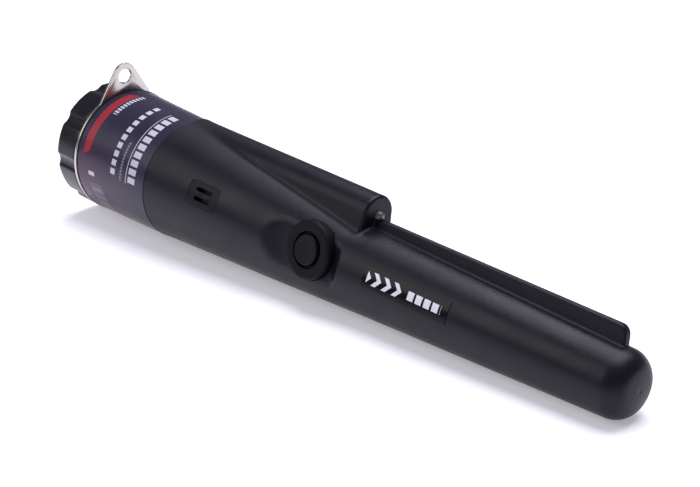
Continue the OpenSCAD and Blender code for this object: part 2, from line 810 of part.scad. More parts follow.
module coil_winding() {
    color([0.6, 0.28, 0.1]) lay() in_probe()
        ring_x_shape(bobbin_x + 1.05, bobbin_len - 2.1, rod_r + 2, rod_r + 0.8);
}

module rod_collar() {
    color([0.2, 0.2, 0.22]) lay() in_probe()
        ring_x_shape(rod_x + 1, 4, probe_bore_at(rod_x + 5) - 0.15, rod_r + 0.05);
}

module rod_seat() {
    seat_x = rod_x + rod_len - 6;
    color([0.25, 0.25, 0.26]) lay() in_probe() difference() {
        along_x(seat_x) cylinder(h = 9, r = probe_bore_at(seat_x + 9) - 0.1);
        along_x(seat_x - 1) cylinder(h = 7.05, r = rod_r + 0.05);
    }
}

// ---- Wires --------------------------------------------------------------------

// Straight wire between two points
module wire(a, b, r) {
    d = b - a;
    translate(a) rotate([0, acos(d[2] / norm(d)), atan2(d[1], d[0])]) cylinder(h = norm(d), r = r, $fn = 16);
}

module coil_leads() {
    color([0.65, 0.3, 0.1]) lay() for (y = [-1, 1])
        wire([ledge_x + rod_x - 1.5, y, 2.5], [board_x + board_len + 0.3, y * 3, 3], 0.25);
}

module battery_leads() {
    color([0.6, 0.08, 0.06]) lay() for (y = [-5, 5])
        wire([contact_x + contact_t + 0.3, y, 6.6], [board_x + 3, y, 8.5], 0.6);
}

module motor_leads() {
    color([0.1, 0.2, 0.6]) lay() for (z = [-2, 0])
        wire([motor_x - 0.1, motor_y, z], [board_x + 0.5, motor_y - 1.2, z], 0.4);
}

module sounder_leads() {
    color([0.1, 0.1, 0.1]) lay() for (x = [-3, 3])
        facing(grille_angle, grille_x + x) translate([0, 0, board_face + 0.6])
            cylinder(h = sounder_top - sounder_h - board_face - 0.7, r = 0.35, $fn = 16);
}

// ---- Labels -------------------------------------------------------------------

module wrap_label() {
    label_x = shoulder_x + 0.7;
    label_len = label_band - 0.7 - groove_w;
    r1 = band_r_at(label_x) + film;
    r2 = band_r_at(label_x + label_len) + film;
    color([0.2, 0.18, 0.3]) lay() along_x(label_x) difference() {
        cylinder(h = label_len, r1 = r1 + wrap_t, r2 = r2 + wrap_t);
        translate([0, 0, -0.01]) cylinder(h = label_len + 0.02, r1 = r1, r2 = r2);
    }
}
module name_label() {
    color([0.04, 0.04, 0.05]) lay() difference() {
        intersection() {
            probe_solid(film + sticker_t);
            facing(button_angle - 1, ledge_x + 10.4) translate([0, -sticker_h / 2, 0]) cube([sticker_len, sticker_h, 40]);
        }
        probe_solid(film);
    }
}

housing();
battery_cap();
cap_seal();
pressure_pad();
lanyard_ring();
battery_case();
battery_terminals();
contact_plate();
contact_snaps();
chassis();
main_board();
board_screws();
microcontroller();
amplifier_chips();
capacitors();
resistors();
trim_pot();
tuning_inductor();
coil_connector();
tact_switch();
switch_plunger();
button_boot();
button_pad();
grille_plug();
grille_gasket();
sounder_case();
sounder_disc();
vibration_motor();
motor_weight();
motor_clip();
lamp();
lamp_seal();
lamp_leads();
ferrite_rod();
coil_bobbin();
coil_winding();
rod_collar();
rod_seat();
coil_leads();
battery_leads();
motor_leads();
sounder_leads();
wrap_label();
name_label();
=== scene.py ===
"""Pinpointer probe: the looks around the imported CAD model, in metres, in its own frame."""

import math

import bpy
import numpy as np
from mathutils import Matrix, Vector


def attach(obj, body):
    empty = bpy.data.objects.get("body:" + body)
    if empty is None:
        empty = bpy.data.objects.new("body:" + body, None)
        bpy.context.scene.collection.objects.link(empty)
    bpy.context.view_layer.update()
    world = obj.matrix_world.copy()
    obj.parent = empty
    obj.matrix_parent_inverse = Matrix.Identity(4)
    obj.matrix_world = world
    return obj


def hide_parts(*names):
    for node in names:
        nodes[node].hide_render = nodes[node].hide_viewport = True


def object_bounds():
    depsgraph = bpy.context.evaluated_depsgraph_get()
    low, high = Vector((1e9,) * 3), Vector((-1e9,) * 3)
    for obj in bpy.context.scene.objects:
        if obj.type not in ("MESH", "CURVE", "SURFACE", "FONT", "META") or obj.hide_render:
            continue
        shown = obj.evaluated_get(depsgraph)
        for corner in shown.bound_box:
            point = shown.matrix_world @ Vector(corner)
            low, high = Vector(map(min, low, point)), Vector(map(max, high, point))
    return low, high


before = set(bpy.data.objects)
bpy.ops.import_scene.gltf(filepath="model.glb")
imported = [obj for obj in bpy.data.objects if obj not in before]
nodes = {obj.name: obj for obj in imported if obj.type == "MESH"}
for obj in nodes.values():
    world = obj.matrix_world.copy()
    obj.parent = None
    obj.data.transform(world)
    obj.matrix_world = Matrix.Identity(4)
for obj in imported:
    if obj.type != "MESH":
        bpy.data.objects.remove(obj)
bpy.context.view_layer.update()
cad_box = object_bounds()
scene = bpy.context.scene

MM = 0.001

# The probe lies on its side: the design frame has its axis along +X and its spine at +Z
LIE_ROLL = math.radians(13.3)
LIE_PITCH = math.radians(3.2804122)
LAY = Matrix.Rotation(LIE_PITCH, 4, "Y") @ Matrix.Rotation(-LIE_ROLL, 4, "X")

# Stations along the axis and radii, in millimetres, as the CAD part has them
CAP_LEN, CAP_R, CAP_END, CAP_ROUND = 11.0, 21.8, 2.0, 1.6
CAP_FLUTES, FLUTE_DEPTH, FLUTE_PHASE = 9, 0.85, 27.0
NECK_REAR, NECK_R, LAND_X, LAND_R = 3.7, 18.35, 10.4, 19.3
THREAD_X, THREAD_H, THREAD_LEAD, THREAD_TURNS = 5.1, 0.7, 3.0, 1.5
SHOULDER_X, SHOULDER_R = 12.08, 21.7
GROOVE_X, GROOVE_R, GROOVE_RISE = 48.48, 20.5, 0.2
LEDGE_X, LEDGE_R, LEDGE_DROP, LEDGE_STEP = 133.5, 13.5, 1.9, 0.12
NOSE_X, NOSE_R, NOSE_ROUND, NOSE_DOME = 234.8, 9.9, 4.4, 30.0
BAND_DEPTH = 0.33
WALL, BORE_STEP, NOSE_WALL, BAY_R, BAY_END = 2.2, 0.4, 4.5, 16.5, 67.1
CROWN_R, CROWN_Z, DRAFT, LEDGE_ROUND = 6.15, 15.2, math.radians(9), 1.0
BLADE_T, BLADE_REAR, BLADE_FRONT, BLADE_END, BLADE_ROUND = 2.6, 14.4, 15.2, 227.2, 3.0
BUTTON_X, BUTTON_ANGLE, BOOT_R, PAD_R, PAD_GAP = 121.1, math.radians(87), 9.15, 4.7, 0.9
RECESS_DEPTH, RECESS_REAR, RECESS_FRONT, RAMP_RUN, RECESS_CORNER = 1.9, 18.5, 12.6, 9.0, 3.5
GRILLE_X, GRILLE_ANGLE, GRILLE_LEN, GRILLE_H = 74.88, math.radians(80), 12.9, 7.8
LAMP_X, LAMP_R = 128.0, 1.5
JOIN_RUN = 7.0
STICKER_ANGLE, STICKER_SKIN_R = math.radians(86), 12.2
# Half the length over which handle and probe run into each other

HANDLE_LEN = LEDGE_X - GROOVE_X
HANDLE_TILT = math.atan((GROOVE_RISE + LEDGE_DROP) / HANDLE_LEN)
HANDLE_TAPER = (GROOVE_R - LEDGE_R) / HANDLE_LEN
PROBE_LEN = NOSE_X - LEDGE_X
PROBE_TILT = math.atan(LEDGE_DROP / PROBE_LEN)
PROBE_R = LEDGE_R - LEDGE_STEP
PROBE_TAPER = (PROBE_R - NOSE_R) / PROBE_LEN
DOME_RISE = math.sqrt((NOSE_DOME - NOSE_ROUND) ** 2 - (NOSE_R - NOSE_ROUND) ** 2)
SIDE_LEN = PROBE_LEN - NOSE_DOME + DOME_RISE
SIDE_TAPER = (PROBE_R - NOSE_R) / SIDE_LEN
SKIN_AT_BUTTON = GROOVE_R - (BUTTON_X - GROOVE_X) * HANDLE_TAPER
RECESS_FLOOR = SKIN_AT_BUTTON - RECESS_DEPTH
BOOT_TOP = SKIN_AT_BUTTON + 0.1
BOOT_FLOOR = SKIN_AT_BUTTON - 3.9

# Rounding and detail of the moulded skin
SPINE_FILLET, BLADE_FILLET, RECESS_FILLET, RIB_ROUND = 1.1, 0.7, 0.7, 0.45
GATE_DEPTH, GATE_R = 0.22, 0.5
FACE_FOOT, PROBE_PLAIN_X, NOSE_RAYS_X = 11.6, 150, 227.6
# Walls and openings round the button, the grille and the lamp
SEAT_T, SEAT_RING, STEM_HOLE_R, OUTSIDE = 1.5, 1.6, 2.6, 24
BUTTON_ROOM, GRILLE_ROOM, GRILLE_CORNER, LAMP_ROOM = 0.2, 0.1, 1.2, 0.1


# ---- Shaping helpers ------------------------------------------------------------

def placed(*turns):
    """Matrix from a local frame in millimetres to the row frame in metres."""
    m = LAY @ Matrix.Scale(MM, 4)
    for t in turns:
        m = m @ t
    return m


def facing(angle, x):
    """Local frame on the side of the body: +Z points out, +X runs to the nose."""
    return Matrix.Rotation(angle, 4, "X") @ Matrix.Translation((x, 0, 0))


def deselect():
    if bpy.context.object and bpy.context.object.mode != "OBJECT":
        bpy.ops.object.mode_set(mode="OBJECT")
    bpy.ops.object.select_all(action="DESELECT")


def hold(piece):
    """Makes one piece the only selected and the active one."""
    deselect()
    piece.select_set(True)
    bpy.context.view_layer.objects.active = piece


def named(name):
    piece = bpy.context.object
    piece.name = name
    piece.data.name = name
    return piece


def settle(piece, matrix):
    """Puts a piece's place into its mesh, so its object sits at the origin, unturned."""
    piece.data.transform(matrix)
    if matrix.determinant() < 0:
        piece.data.flip_normals()
    piece.data.update()


def edit_operators(piece, *steps):
    """Runs edit mode operators on the whole mesh, each with its own settings."""
    hold(piece)
    bpy.ops.object.mode_set(mode="EDIT")
    for operator, settings in steps:
        bpy.ops.mesh.select_all(action="SELECT")
        operator(**settings)
    bpy.ops.object.mode_set(mode="OBJECT")


def finish_with(piece, kind, **settings):
    """Adds one modifier to a piece and applies it."""
    hold(piece)
    modifier = piece.modifiers.new(kind.title(), kind)
    for key, value in settings.items():
        setattr(modifier, key, value)
    bpy.ops.object.modifier_apply(modifier=modifier.name)


def cut(piece, cutter):
    finish_with(piece, "BOOLEAN", object=cutter, operation="DIFFERENCE", solver="EXACT")
    bpy.data.objects.remove(cutter)


def smooth(piece, degrees=30):
    hold(piece)
    bpy.ops.object.shade_smooth_by_angle(angle=math.radians(degrees))


def cone_cutter(x0, x1, r0, r1, matrix=Matrix.Identity(4), sides=128):
    """Cone or cylinder along +X of a local frame, as a tool for a boolean."""
    deselect()
    bpy.ops.mesh.primitive_cone_add(vertices=sides, radius1=r0, radius2=r1, depth=x1 - x0,
                                    location=((x0 + x1) / 2, 0, 0), rotation=(0, math.pi / 2, 0))
    tool = bpy.context.object
    bpy.ops.object.transform_apply()
    settle(tool, placed(matrix))
    return tool


def post_cutter(z0, z1, radius, matrix, sides=96):
    """Cylinder along +Z of a local frame, as a tool for a boolean."""
    deselect()
    bpy.ops.mesh.primitive_cylinder_add(vertices=sides, radius=radius, depth=z1 - z0,
                                        location=(0, 0, (z0 + z1) / 2))
    tool = bpy.context.object
    bpy.ops.object.transform_apply()
    settle(tool, placed(matrix))
    return tool


# ---- Housing --------------------------------------------------------------------

def soft_min(a, b, k):
    """Joins two solids with a fillet about k wide."""
    h = np.maximum(k - np.abs(a - b), 0) / k
    return np.minimum(a, b) - h * h * k / 4


def soft_max(a, b, k):
    return -soft_min(-a, -b, k)


def rounded(a, b, r):
    """Where two solids overlap, with their shared edge rounded to radius r."""
    p, q = a + r, b + r
    return np.minimum(np.maximum(p, q), 0) + np.hypot(np.maximum(p, 0), np.maximum(q, 0)) - r


def cone_side(x, y, z, x0, z0, tilt, radius, taper):
    """Depth below the side of a cone whose axis starts at x0, z0 and dips by tilt."""
    along = (x - x0) * math.cos(tilt) - (z - z0) * math.sin(tilt)
    up = (x - x0) * math.sin(tilt) + (z - z0) * math.cos(tilt)
    return (np.hypot(y, up) - radius + along * taper) * math.cos(math.atan(taper)), along


def body_skin(x, y, z):
    """Signed distance to the moulded body in front of the groove, without its openings."""
    handle, _ = cone_side(x, y, z, GROOVE_X, GROOVE_RISE, HANDLE_TILT, GROOVE_R, HANDLE_TAPER)
    side, along = cone_side(x, y, z, LEDGE_X, -LEDGE_DROP, -PROBE_TILT, PROBE_R, SIDE_TAPER)
    up = -(x - LEDGE_X) * math.sin(PROBE_TILT) + (z + LEDGE_DROP) * math.cos(PROBE_TILT)
    off_axis = np.hypot(y, up)
    past_centre = np.maximum(along - PROBE_LEN + NOSE_DOME, 0)
    dome = np.hypot(off_axis, past_centre) - NOSE_DOME
    gate = GATE_DEPTH * np.exp(-(off_axis / GATE_R) ** 2)
    # Handle and probe run into each other softly on both sides of the ledge
    share = np.clip((x - LEDGE_X + JOIN_RUN) / (2 * JOIN_RUN), 0, 1)
    share = share * share * (3 - 2 * share)
    body = rounded(handle * (1 - share) + side * share, dome, NOSE_ROUND)
    body = body + np.where(along > PROBE_LEN - 3, gate, 0)

    # Spine: a round crown on drafted flanks, ending at the ledge
    q_y, q_z = np.abs(y), z - CROWN_Z
    crown = np.hypot(q_y, q_z) - CROWN_R
    flank = q_y * math.cos(DRAFT) + q_z * math.sin(DRAFT) - CROWN_R
    spine = np.where(q_z * math.cos(DRAFT) < q_y * math.sin(DRAFT), flank, crown)
    spine = np.maximum(rounded(spine, x - LEDGE_X, LEDGE_ROUND), 4 - z)
    body = soft_min(body, spine, SPINE_FILLET)

    # Blade: a thin rib with a rounded front corner
    slope = (BLADE_FRONT - BLADE_REAR) / (BLADE_END - LEDGE_X)
    edge = z - BLADE_REAR - slope * (x - LEDGE_X)
    outline = rounded(edge, x - BLADE_END, BLADE_ROUND)
    blade = np.maximum(rounded(q_y - BLADE_T / 2 + 0.012 * (z - 12), outline, RIB_ROUND), 2 - z)
    body = soft_min(body, blade, BLADE_FILLET)

    # Finger recess: its floor follows the taper, and a long ramp rises towards the cap
    c, s = math.cos(BUTTON_ANGLE), math.sin(BUTTON_ANGLE)
    out = -s * y + c * z
    dip = math.atan(HANDLE_TAPER)
    u = (x - BUTTON_X) * math.cos(dip) - (out - RECESS_FLOOR) * math.sin(dip)
    w = (x - BUTTON_X) * math.sin(dip) + (out - RECESS_FLOOR) * math.cos(dip)
    ramp_r = (RAMP_RUN ** 2 + RECESS_DEPTH ** 2) / (2 * RECESS_DEPTH)
    ramp_u = RAMP_RUN - RECESS_REAR
    ramp = np.hypot(u - ramp_u, w - ramp_r) - ramp_r
    floor = np.where(u < ramp_u, np.where(w < ramp_r, ramp, -w), -w)
    recess = rounded(floor, u - RECESS_FRONT, RECESS_CORNER)
    return soft_max(body, -np.where(out > 5, recess, 50.0), RECESS_FILLET)


def skin_angles():
    """Angles round the body from the spine, closest at the blade and at the spine's crease."""
    half = np.concatenate([
        np.linspace(0, 4.4, 5, endpoint=False), np.linspace(4.4, 7.8, 20, endpoint=False),
        np.linspace(7.8, 14, 5, endpoint=False), np.linspace(14, 44, 30, endpoint=False),
        np.linspace(44, 120, 38, endpoint=False), np.linspace(120, 180, 26)])
    return np.radians(np.concatenate([half, 360 - half[-2::-1]]))


def skin_rays():
    """Start on the axis and forward lean of each ring of rays, from the groove to the nose.

    The rays lean forwards to sweep down the ledge's upright face, then over the nose."""
    rows = [(x, 0.0) for x in np.linspace(GROOVE_X, 100, 56)[:-1]]
    top = CROWN_Z + CROWN_R
    for t in np.linspace(0, 1, 56)[:-1]:
        hit, lean = 100 + (LEDGE_X - 1.2 - 100) * t, math.tan(math.pi / 4 * t)
        rows.append((hit - top * lean, math.atan(lean)))
    for rho in np.linspace(top - 1.2, top, 9)[::-1]:
        rows.append((LEDGE_X - 1.2 + (top - rho) - rho, math.pi / 4))
    for rho in np.linspace(top - 1.3, FACE_FOOT, 34)[:-1]:
        rows.append((LEDGE_X - rho, math.pi / 4))
    foot_x = LEDGE_X + FACE_FOOT * 0.28
    for t in np.linspace(0, 1, 24)[:-1]:
        hit = foot_x + (PROBE_PLAIN_X - foot_x) * t
        lean = math.tan(math.pi / 4 * (1 - t))
        rows.append((hit - 15 * lean if t else LEDGE_X - 11.5, math.atan(lean)))
    rows += [(x, 0.0) for x in np.linspace(PROBE_PLAIN_X, 220, 66)[:-1]]
    rows += [(x, 0.0) for x in np.linspace(220, NOSE_RAYS_X, 19)[:-1]]
    for t in np.linspace(0, 1, 30):
        rows.append((NOSE_RAYS_X - 5 * math.sin(t * math.pi / 2), t * math.pi / 2))
    return np.array(rows)


def shoot(starts, leans, angles):
    """Where each ray leaves the body, found by halving."""
    s, l, a = starts[:, None], leans[:, None], angles[None, :]
    dx = np.sin(l) + 0 * a
    dy, dz = -np.cos(l) * np.sin(a), np.cos(l) * np.cos(a)
    near, far = np.zeros(dx.shape), np.full(dx.shape, 45.0)
    for _ in range(34):
        mid = (near + far) / 2
        inside = body_skin(s + dx * mid, dy * mid, dz * mid) < 0
        near, far = np.where(inside, mid, near), np.where(inside, far, mid)
    return np.stack([s + dx * near, dy * near, dz * near], axis=-1)


def laid_out(name, points):
    """A grid laid out ring by ring, each of its points put on the skin, and its seams closed."""
    deselect()
    count, around = points.shape[0], points.shape[1]
    bpy.ops.mesh.primitive_grid_add(x_subdivisions=around - 1, y_subdivisions=count - 1, size=2)
    piece = named(name)
    place = np.zeros(len(piece.data.vertices) * 3)
    piece.data.vertices.foreach_get("co", place)
    place = place.reshape(-1, 3)
    column = np.rint((place[:, 0] + 1) / 2 * (around - 1)).astype(int)
    row = np.rint((place[:, 1] + 1) / 2 * (count - 1)).astype(int)
    piece.data.vertices.foreach_set("co", points[row, column].ravel())
    edit_operators(piece, (bpy.ops.mesh.remove_doubles, {"threshold": 1e-4}),
                   (bpy.ops.mesh.normals_make_consistent, {"inside": False}))
    return piece


def make_housing():
    angles = skin_angles()
    rays = skin_rays()
    front = shoot(rays[:, 0], rays[:, 1], angles)
    band_r = lambda x: SHOULDER_R - BAND_DEPTH - (SHOULDER_R - GROOVE_R) * (x - SHOULDER_X - 0.5) / 35.9
    rear = [(NECK_REAR, 0.0), (NECK_REAR, NECK_R - 0.4), (NECK_REAR + 0.4, NECK_R), (LAND_X, NECK_R),
            (LAND_X, LAND_R), (SHOULDER_X, LAND_R), (SHOULDER_X, SHOULDER_R - 0.15),
            (SHOULDER_X + 0.15, SHOULDER_R), (SHOULDER_X + 0.6, SHOULDER_R),
            (SHOULDER_X + 0.6, band_r(SHOULDER_X + 0.6)), (GROOVE_X, band_r(GROOVE_X))]
    rings = [np.stack([np.full(angles.shape, x), -r * np.sin(angles), r * np.cos(angles)], axis=-1)
             for x, r in rear]
    points = np.concatenate([np.array(rings), front])
    points[-1] = points[-1].mean(axis=0)

    piece = laid_out("housing_skin", points)
    settle(piece, placed())

    # Battery bay and bores, with the button's seat left standing in them
    in_handle = Matrix.Translation((GROOVE_X, 0, GROOVE_RISE)) @ Matrix.Rotation(HANDLE_TILT, 4, "Y")
    in_probe = Matrix.Translation((LEDGE_X, 0, -LEDGE_DROP)) @ Matrix.Rotation(-PROBE_TILT, 4, "Y")
    bore_at = lambda s: LEDGE_R - WALL - BORE_STEP - s * PROBE_TAPER
    hollow = cone_cutter(BAY_END - GROOVE_X - 1, HANDLE_LEN - 2,
                         GROOVE_R - WALL - (BAY_END - GROOVE_X - 1) * HANDLE_TAPER,
                         LEDGE_R - WALL + 2 * HANDLE_TAPER, in_handle)
    at_button = facing(BUTTON_ANGLE, BUTTON_X)
    cut(hollow, post_cutter(BOOT_FLOOR - SEAT_T, OUTSIDE, BOOT_R + SEAT_RING, at_button))
    cut(piece, hollow)
    cut(piece, cone_cutter(0, BAY_END, BAY_R, BAY_R))
    bore_end = PROBE_LEN - NOSE_WALL
    cut(piece, cone_cutter(-6, bore_end, bore_at(-6), bore_at(bore_end), in_probe))

    # Openings for the button, the grille and the lamp
    cut(piece, post_cutter(BOOT_FLOOR, OUTSIDE, BOOT_R + BUTTON_ROOM, at_button))
    cut(piece, post_cutter(BOOT_FLOOR - 2 * SEAT_T, OUTSIDE, STEM_HOLE_R, at_button, 48))
    cut(piece, grille_cutter(GRILLE_ROOM))
    cut(piece, cone_cutter(LAMP_X - 1, LEDGE_X + 3, LAMP_R + LAMP_ROOM, LAMP_R + LAMP_ROOM,
                           Matrix.Translation((0, 0, CROWN_Z)), 48))
    smooth(piece, 32)
    return piece


def grille_cutter(grow):
    """Rounded block the size of the grille's opening, pointing out of the handle's side."""
    deselect()
    bpy.ops.mesh.primitive_cube_add(size=1)
    tool = bpy.context.object
    tool.scale = (GRILLE_LEN + 2 * grow, GRILLE_H + 2 * grow, 12)
    tool.location = (0, 0, 20)
    bpy.ops.object.transform_apply()
    hold(tool)
    bpy.ops.object.mode_set(mode="EDIT")
    bpy.ops.mesh.select_mode(type="EDGE")
    bpy.ops.mesh.select_all(action="DESELECT")
    bpy.ops.object.mode_set(mode="OBJECT")
    for e in tool.data.edges:
        a, b = (tool.data.vertices[i].co for i in e.vertices)
        e.select = abs(a.z - b.z) > 1
    bpy.ops.object.mode_set(mode="EDIT")
    bpy.ops.mesh.bevel(offset=GRILLE_CORNER + grow, segments=8)
    bpy.ops.object.mode_set(mode="OBJECT")
    settle(tool, placed(facing(GRILLE_ANGLE, GRILLE_X)))
    return tool



# ---- Battery cap ----------------------------------------------------------------

CAP_BORE, CAP_SEAT_R, CAP_SEAT_X = 18.57, 19.55, 10.3
FLUTE_R = 4.2


def cap_radius(angles):
    """Outline of the cap's grip: round lobes with a soft valley between each two."""
    step = 2 * math.pi / CAP_FLUTES
    off = (angles - math.radians(FLUTE_PHASE) + step / 2) % step - step / 2
    reach = CAP_R + FLUTE_R - FLUTE_DEPTH
    chord = np.maximum(FLUTE_R ** 2 - (reach * np.sin(off)) ** 2, 0)
    valley = np.where(chord > 0, reach * np.cos(off) - np.sqrt(chord), CAP_R + 2)
    return soft_min(valley, np.full(off.shape, CAP_R), 0.4)


def make_cap():
    angles = np.radians(np.linspace(0, 360, 541))
    lobes = cap_radius(angles)
    rings = [(0.0, 0 * lobes)] + [(0.0, (lobes - CAP_ROUND) * k) for k in (0.4, 0.8, 0.97)]
    for t in np.linspace(0, math.pi / 2, 10):
        rings.append((CAP_ROUND * (1 - math.cos(t)), lobes - CAP_ROUND * (1 - math.sin(t))))
    rings += [(x, lobes) for x in np.linspace(CAP_ROUND + 1, CAP_LEN - 0.3, 8)]
    rings += [(CAP_LEN - 0.1, lobes - 0.07), (CAP_LEN, lobes - 0.25)]
    flat = np.ones(angles.shape)
    rings += [(CAP_LEN, (CAP_SEAT_R + 0.3) * flat), (CAP_LEN - 0.2, CAP_SEAT_R * flat),
              (CAP_SEAT_X, CAP_SEAT_R * flat), (CAP_SEAT_X, CAP_BORE * flat),
              (CAP_END + 0.4, CAP_BORE * flat), (CAP_END, (CAP_BORE - 0.4) * flat),
              (CAP_END, 8 * flat), (CAP_END, 0 * flat)]
    points = np.array([np.stack([np.full(angles.shape, x), -r * np.sin(angles), r * np.cos(angles)],
                                axis=-1) for x, r in rings])
    piece = laid_out("cap_shell", points)
    settle(piece, placed())
    smooth(piece, 35)
    return piece


def make_thread():
    """Ridge that winds round the neck and runs out at both ends."""
    turn = np.linspace(0, THREAD_TURNS * 2 * math.pi, 240)
    grow = np.clip(np.minimum(turn, turn[-1] - turn) / math.radians(25), 0.001, 1)
    section = [(-0.6, -0.1), (-0.32, THREAD_H - 0.05), (-0.25, THREAD_H), (0.25, THREAD_H),
               (0.32, THREAD_H - 0.05), (0.6, -0.1), (-0.6, -0.1)]
    points = []
    for t, g in zip(turn, grow):
        x = THREAD_X - 0.75 + THREAD_LEAD * t / (2 * math.pi)
        points.append([(x + u * (0.2 + 0.8 * g), -(NECK_R - 0.1 + (v + 0.1) * g) * math.sin(-t),
                        (NECK_R - 0.1 + (v + 0.1) * g) * math.cos(-t)) for u, v in section])
    points = np.array(points)
    points[0], points[-1] = points[0].mean(axis=0), points[-1].mean(axis=0)
    piece = laid_out("neck_thread", points)
    settle(piece, placed())
    smooth(piece, 40)
    return piece


# ---- Button and its boot --------------------------------------------------------

def turned(name, profile, matrix, around=161):
    """A piece turned about +Z of a local frame from a profile of (radius, height)."""
    angles = np.radians(np.linspace(0, 360, around))
    points = np.array([np.stack([r * np.cos(angles), r * np.sin(angles), np.full(angles.shape, z)],
                                axis=-1) for r, z in profile])
    piece = laid_out(name, points)
    settle(piece, placed(matrix))
    smooth(piece, 35)
    return piece


def arc(r, z, radius, start, end, steps=8):
    """Profile points round a corner, in degrees from straight out."""
    turns = np.radians(np.linspace(start, end, steps))
    return [(r + radius * math.cos(t), z + radius * math.sin(t)) for t in turns]


BOOT_HOLE = PAD_R + PAD_GAP
FLANGE_R, FLANGE_TOP, BOOT_LIP = PAD_R + PAD_GAP + 0.9, BOOT_TOP - 1.4, 1.3
PAD_TOP = BOOT_TOP + 0.6
STEM_R, STEM_END = 2.0, 8.55


def make_boot():
    low, top = BOOT_FLOOR + 0.05, BOOT_TOP
    cavity = FLANGE_R + 1.2
    profile = [(cavity, low), (BOOT_R - 0.2, low), (BOOT_R, low + 0.2)]
    profile += arc(BOOT_R - 1, top - 1, 1, 0, 90, 12)
    profile += arc(BOOT_HOLE + 0.35, top - 0.35, 0.35, 90, 180)
    profile += [(BOOT_HOLE, top - BOOT_LIP + 0.1), (BOOT_HOLE + 0.1, top - BOOT_LIP),
                (cavity, top - BOOT_LIP), (cavity, low)]
    return turned("boot_ring", profile, facing(BUTTON_ANGLE, BUTTON_X))


def make_pad():
    profile = [(0, STEM_END), (STEM_R - 0.2, STEM_END), (STEM_R, STEM_END + 0.2),
               (STEM_R, FLANGE_TOP - 0.8), (FLANGE_R - 0.15, FLANGE_TOP - 0.8),
               (FLANGE_R, FLANGE_TOP - 0.65), (FLANGE_R, FLANGE_TOP - 0.15),
               (FLANGE_R - 0.15, FLANGE_TOP), (PAD_R + 0.15, FLANGE_TOP), (PAD_R, FLANGE_TOP + 0.15)]
    profile += arc(PAD_R - 0.5, PAD_TOP - 0.5, 0.5, 0, 80, 8)
    profile += [(r, PAD_TOP - 0.16 * (1 - (r / PAD_R) ** 2)) for r in (3.9, 3.2, 2.4, 1.6, 0.8)]
    profile += [(0, PAD_TOP - 0.16)]
    return turned("press_pad", profile, facing(BUTTON_ANGLE, BUTTON_X))


# ---- Pieces that keep the CAD shape and gain soft edges ----------------------------

def softened(name, node, width, degrees=30):
    """Own copy of a CAD node's mesh, closed up and with its sharp edges rounded."""
    source = nodes[node]
    piece = source.copy()
    piece.data = source.data.copy()
    scene.collection.objects.link(piece)
    piece.parent = None
    piece.matrix_world = Matrix.Identity(4)
    piece.name = piece.data.name = name
    piece.hide_render = piece.hide_viewport = False
    settle(piece, source.matrix_world)
    edit_operators(piece, (bpy.ops.mesh.remove_doubles, {"threshold": 1e-6}),
                   (bpy.ops.mesh.dissolve_limited, {"angle_limit": math.radians(0.3)}),
                   (bpy.ops.mesh.normals_make_consistent, {"inside": False}))
    finish_with(piece, "BEVEL", width=width * MM, segments=3, limit_method="ANGLE",
                angle_limit=math.radians(degrees), use_clamp_overlap=True)
    smooth(piece, degrees)
    return piece


def make_die():
    """The lamp's chip in its cup, deep in the clear lens."""
    deselect()
    bpy.ops.mesh.primitive_cube_add(size=0.7)
    piece = named("lamp_die")
    edit_operators(piece, (bpy.ops.mesh.bevel, {"offset": 0.12, "segments": 2}))
    settle(piece, placed(Matrix.Translation((LAMP_X + 2.2, 0, CROWN_Z))))
    smooth(piece)
    return piece


housing = make_housing()
cap = make_cap()
thread = make_thread()
boot, pad = make_boot(), make_pad()
ring = softened("split_ring", "lanyard_ring", 0.14)
plug = softened("grille_insert", "grille_plug", 0.12)
die = make_die()


# ---- Materials ------------------------------------------------------------------

def colour(code):
    """An sRGB hex colour as linear red, green, blue and alpha."""
    parts = [int(code[i:i + 2], 16) / 255 for i in (0, 2, 4)]
    return tuple(c / 12.92 if c <= 0.04045 else ((c + 0.055) / 1.055) ** 2.4 for c in parts) + (1.0,)


def add(tree, kind, inputs=(), **settings):
    """Adds a node. inputs gives sockets by name or number a value or another node's output."""
    node = tree.nodes.new("ShaderNode" + kind)
    for key, value in settings.items():
        setattr(node, key, value)
    for key, value in dict(inputs).items():
        if isinstance(value, bpy.types.NodeSocket):
            tree.links.new(value, node.inputs[key])
        else:
            node.inputs[key].default_value = value
    return node


def math_node(tree, operation, *values):
    return add(tree, "Math", dict(enumerate(values)), operation=operation).outputs[0]


